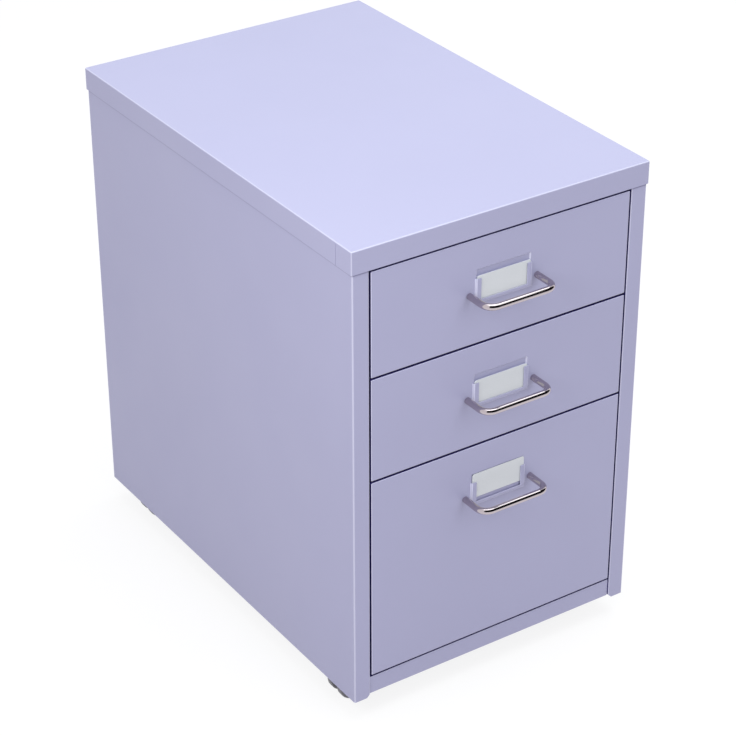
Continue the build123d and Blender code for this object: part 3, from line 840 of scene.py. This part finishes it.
for drawer in drawer_names:
    press_holder(drawer)

# %% [markdown]
# ## Label cards
# A card is a blank white slip with rounded corners. It stands behind the frame and peeps out
# above it; in the lowest holder it was pushed in less far. A vertex bevel rounds the corners of
# one flat face, and an extrusion gives the card its thickness.

# %% Label cards
card_width, card_height, card_thickness, card_play = 73.4 * mm, 32 * mm, 0.6 * mm, 0.4 * mm
card_corner, card_edge, card_angle = 3 * mm, 0.08 * mm, 60
card_peep = {"upper_drawer": 3 * mm, "middle_drawer": 3 * mm, "lower_drawer": 11 * mm}


def cut_card(drawer):
    bm = lay_blank(card_width / 2, card_height / 2, (0, -card_height / 2, card_play))
    round_off(bm, bm.verts[:], card_corner, 8, affect="VERTICES")
    made = bmesh.ops.extrude_face_region(bm, geom=bm.faces[:])["geom"]
    bmesh.ops.translate(bm, verts=new_parts(bmesh.types.BMVert, made), vec=(0, 0, card_thickness))
    round_off(bm, sharp_edges(bm, card_angle), card_edge, 1)
    stand_up(bm, front_tops[drawer] - window_drop + card_peep[drawer])
    return finish_piece(bm, f"{drawer}_blank_card", drawer, card_stock, [f"{drawer}_label_card"])


for drawer in drawer_names:
    cut_card(drawer)

# %% [markdown]
# ## Castors
# Twin-wheel castors carry the unit: two hard wheels with a softer tread on one axle, under a
# moulded hood whose socket turns on a steel stem. A lathe makes a wheel, and a spin does the same
# here: one outline is drawn beside the axle and swept round it. A cylinder would have neither the
# rounded tread nor the dish of the outer face.

# %% Outlines and sweeps
castor_names = [f"{end}_{side}_castor" for end in ("front", "rear") for side in ("left", "right")]
wheel_width, wheel_steps = 9.5 * mm, 56


def draw_outline(bm, points):
    verts = [bm.verts.new(point) for point in points]
    edges = [bm.edges.new(pair) for pair in zip(verts, verts[1:])]
    return verts, edges


def sweep_round(bm, geom, centre, axis, angle, steps, merge):
    bmesh.ops.spin(
        bm, geom=geom, cent=centre, axis=axis, dvec=(0, 0, 0), angle=angle, steps=steps,
        use_merge=merge, use_normal_flip=False, use_duplicate=False,
    )
    bmesh.ops.remove_doubles(bm, verts=bm.verts, dist=weld_gap)


# %% Castor wheels
hub_radius, dish_radius, core_radius, tread_step = 5.2 * mm, 12.6 * mm, 16.6 * mm, 0.5 * mm
shoulder, shoulder_cut, dish_depth, dish_slope, hub_sink = 1.6 * mm, 0.5 * mm, 2.2 * mm, 1.2 * mm, 0.6 * mm
wheel_sharp_angle = 30


def turn_wheels(castor):
    low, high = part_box(f"{castor}_wheels")
    axle = (low + high) / 2
    radius, outer = (high.z - low.z) / 2, (high.y - low.y) / 2
    axle_low, axle_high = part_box(f"{castor}_axle")
    axle_radius = (axle_high.z - axle_low.z) / 2
    inner = outer - wheel_width
    bm = bmesh.new()
    outline = [
        (inner, axle_radius), (inner, radius - shoulder),
        (inner + shoulder_cut, radius - shoulder_cut), (inner + shoulder, radius),
        (outer - shoulder, radius), (outer - shoulder_cut, radius - shoulder_cut),
        (outer, radius - shoulder), (outer, core_radius),
        (outer - tread_step, core_radius - tread_step), (outer - tread_step, dish_radius),
        (outer - dish_depth, dish_radius - dish_slope), (outer - dish_depth, hub_radius),
        (outer - hub_sink, hub_radius - hub_sink), (outer - hub_sink, axle_radius),
        (inner, axle_radius),
    ]
    verts, edges = draw_outline(bm, [(axle.x, axle.y + across, axle.z + out) for across, out in outline])
    sweep_round(bm, verts + edges, axle, (0, 1, 0), math.tau, wheel_steps, True)
    bmesh.ops.mirror(
        bm, geom=bm.verts[:] + bm.edges[:] + bm.faces[:], axis="Y", merge_dist=0,
        matrix=Matrix.Translation((0, -axle.y, 0)),
    )
    return finish_piece(
        bm, f"{castor}_turned_wheels", f"{castor}_wheelset", castor_plastic,
        [f"{castor}_wheels"], wheel_sharp_angle,
    )


for castor in castor_names:
    turn_wheels(castor)

# %% [markdown]
# ## Castor hoods
# The dark moulding over the wheels is one piece: a hood like a mudguard, a web between the wheels
# that holds the axle, and a socket round the steel stem. It could be carved from a block, but each
# portion is simpler to draw where it belongs: the strip of the hood is swept over the wheels, the
# web is filled round the axle's hole and drawn out, and the socket is turned on its upright line.

# %% Castor hoods
hood_play, hood_sheet, hood_rise, hood_round = 1.4 * mm, 1.6 * mm, 12 * mm, 0.4 * mm
web_play, web_reach, bore_fit = 0.6 * mm, 6 * mm, 0.05 * mm
socket_radius, stem_radius, stem_length, thrust_play = 5 * mm, 3 * mm, 18 * mm, 0.3 * mm
hood_steps, hole_steps, socket_steps, hood_angle = 28, 32, 36, 40


def sweep_hood(bm, axle, inside, outside, half_width):
    strip = [(-half_width, inside), (half_width, inside), (half_width, outside), (-half_width, outside)]
    draw_outline(bm, [(axle.x, axle.y + across, axle.z + out) for across, out in strip + strip[:1]])
    bmesh.ops.remove_doubles(bm, verts=bm.verts, dist=weld_gap)
    lean = math.acos(hood_rise / inside)
    bmesh.ops.rotate(bm, verts=bm.verts, cent=axle, matrix=Matrix.Rotation(-lean, 3, "Y"))
    sweep_round(bm, bm.verts[:] + bm.edges[:], axle, (0, 1, 0), 2 * lean, hood_steps, False)
    bmesh.ops.holes_fill(bm, edges=bm.edges, sides=0)


def fill_web(bm, axle, corners, half_width, hole_radius):
    y = axle.y - half_width
    verts, edges = draw_outline(bm, [(x, y, z) for x, z in corners])
    edges.append(bm.edges.new((verts[-1], verts[0])))
    upright = Matrix.Translation((axle.x, y, axle.z)) @ Matrix.Rotation(math.pi / 2, 4, "X")
    hole = bmesh.ops.create_circle(
        bm, cap_ends=False, radius=hole_radius, segments=hole_steps, matrix=upright
    )["verts"]
    edges += list({edge for vert in hole for edge in vert.link_edges})
    filled = bmesh.ops.triangle_fill(bm, use_beauty=True, use_dissolve=False, edges=edges)["geom"]
    drawn = bmesh.ops.extrude_face_region(bm, geom=new_parts(bmesh.types.BMFace, filled))["geom"]
    bmesh.ops.translate(bm, verts=new_parts(bmesh.types.BMVert, drawn), vec=(0, 2 * half_width, 0))


def turn_socket(bm, stem, low, bore_low, top):
    bore = stem_radius + bore_fit
    outline = [
        (0, low), (socket_radius, low), (socket_radius, top),
        (bore, top), (bore, bore_low), (0, bore_low),
    ]
    verts, edges = draw_outline(bm, [(stem.x + out, stem.y, z) for out, z in outline])
    sweep_round(bm, verts + edges, stem, (0, 0, 1), math.tau, socket_steps, True)


def mould_hood(castor):
    wheel_low, wheel_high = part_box(f"{castor}_wheels")
    axle_low, axle_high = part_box(f"{castor}_axle")
    plate_low, plate_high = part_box(f"{castor}_plate")
    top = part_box(f"{castor}_housing")[1].z
    axle, stem = (wheel_low + wheel_high) / 2, (plate_low + plate_high) / 2
    half_width = (wheel_high.y - wheel_low.y) / 2
    inside = (wheel_high.z - wheel_low.z) / 2 + hood_play
    outside = inside + hood_sheet
    low = top - stem_length - stem_radius
    corners = [
        (stem.x, low), (axle.x, axle.z - web_reach), (axle.x - web_reach, axle.z),
        (axle.x, axle.z + outside), (stem.x, axle.z + outside),
    ]
    bm = bmesh.new()
    sweep_hood(bm, axle, inside, outside, half_width)
    hole_radius = (axle_high.z - axle_low.z) / 2 + bore_fit
    fill_web(bm, axle, corners, half_width - wheel_width - web_play, hole_radius)
    turn_socket(bm, stem, low, top - stem_length - thrust_play, top)
    bmesh.ops.recalc_face_normals(bm, faces=bm.faces)
    round_off(bm, sharp_edges(bm, hood_angle), hood_round, 2)
    name, node = f"{castor}_moulded_housing", f"{castor}_housing"
    return finish_piece(bm, name, castor, castor_plastic, [node])


for castor in castor_names:
    hood = mould_hood(castor)
    corners = [v.co for v in hood.data.vertices]
    print("   from", [round(1000 * min(c[k] for c in corners), 1) for k in range(3)],
          "to", [round(1000 * max(c[k] for c in corners), 1) for k in range(3)])
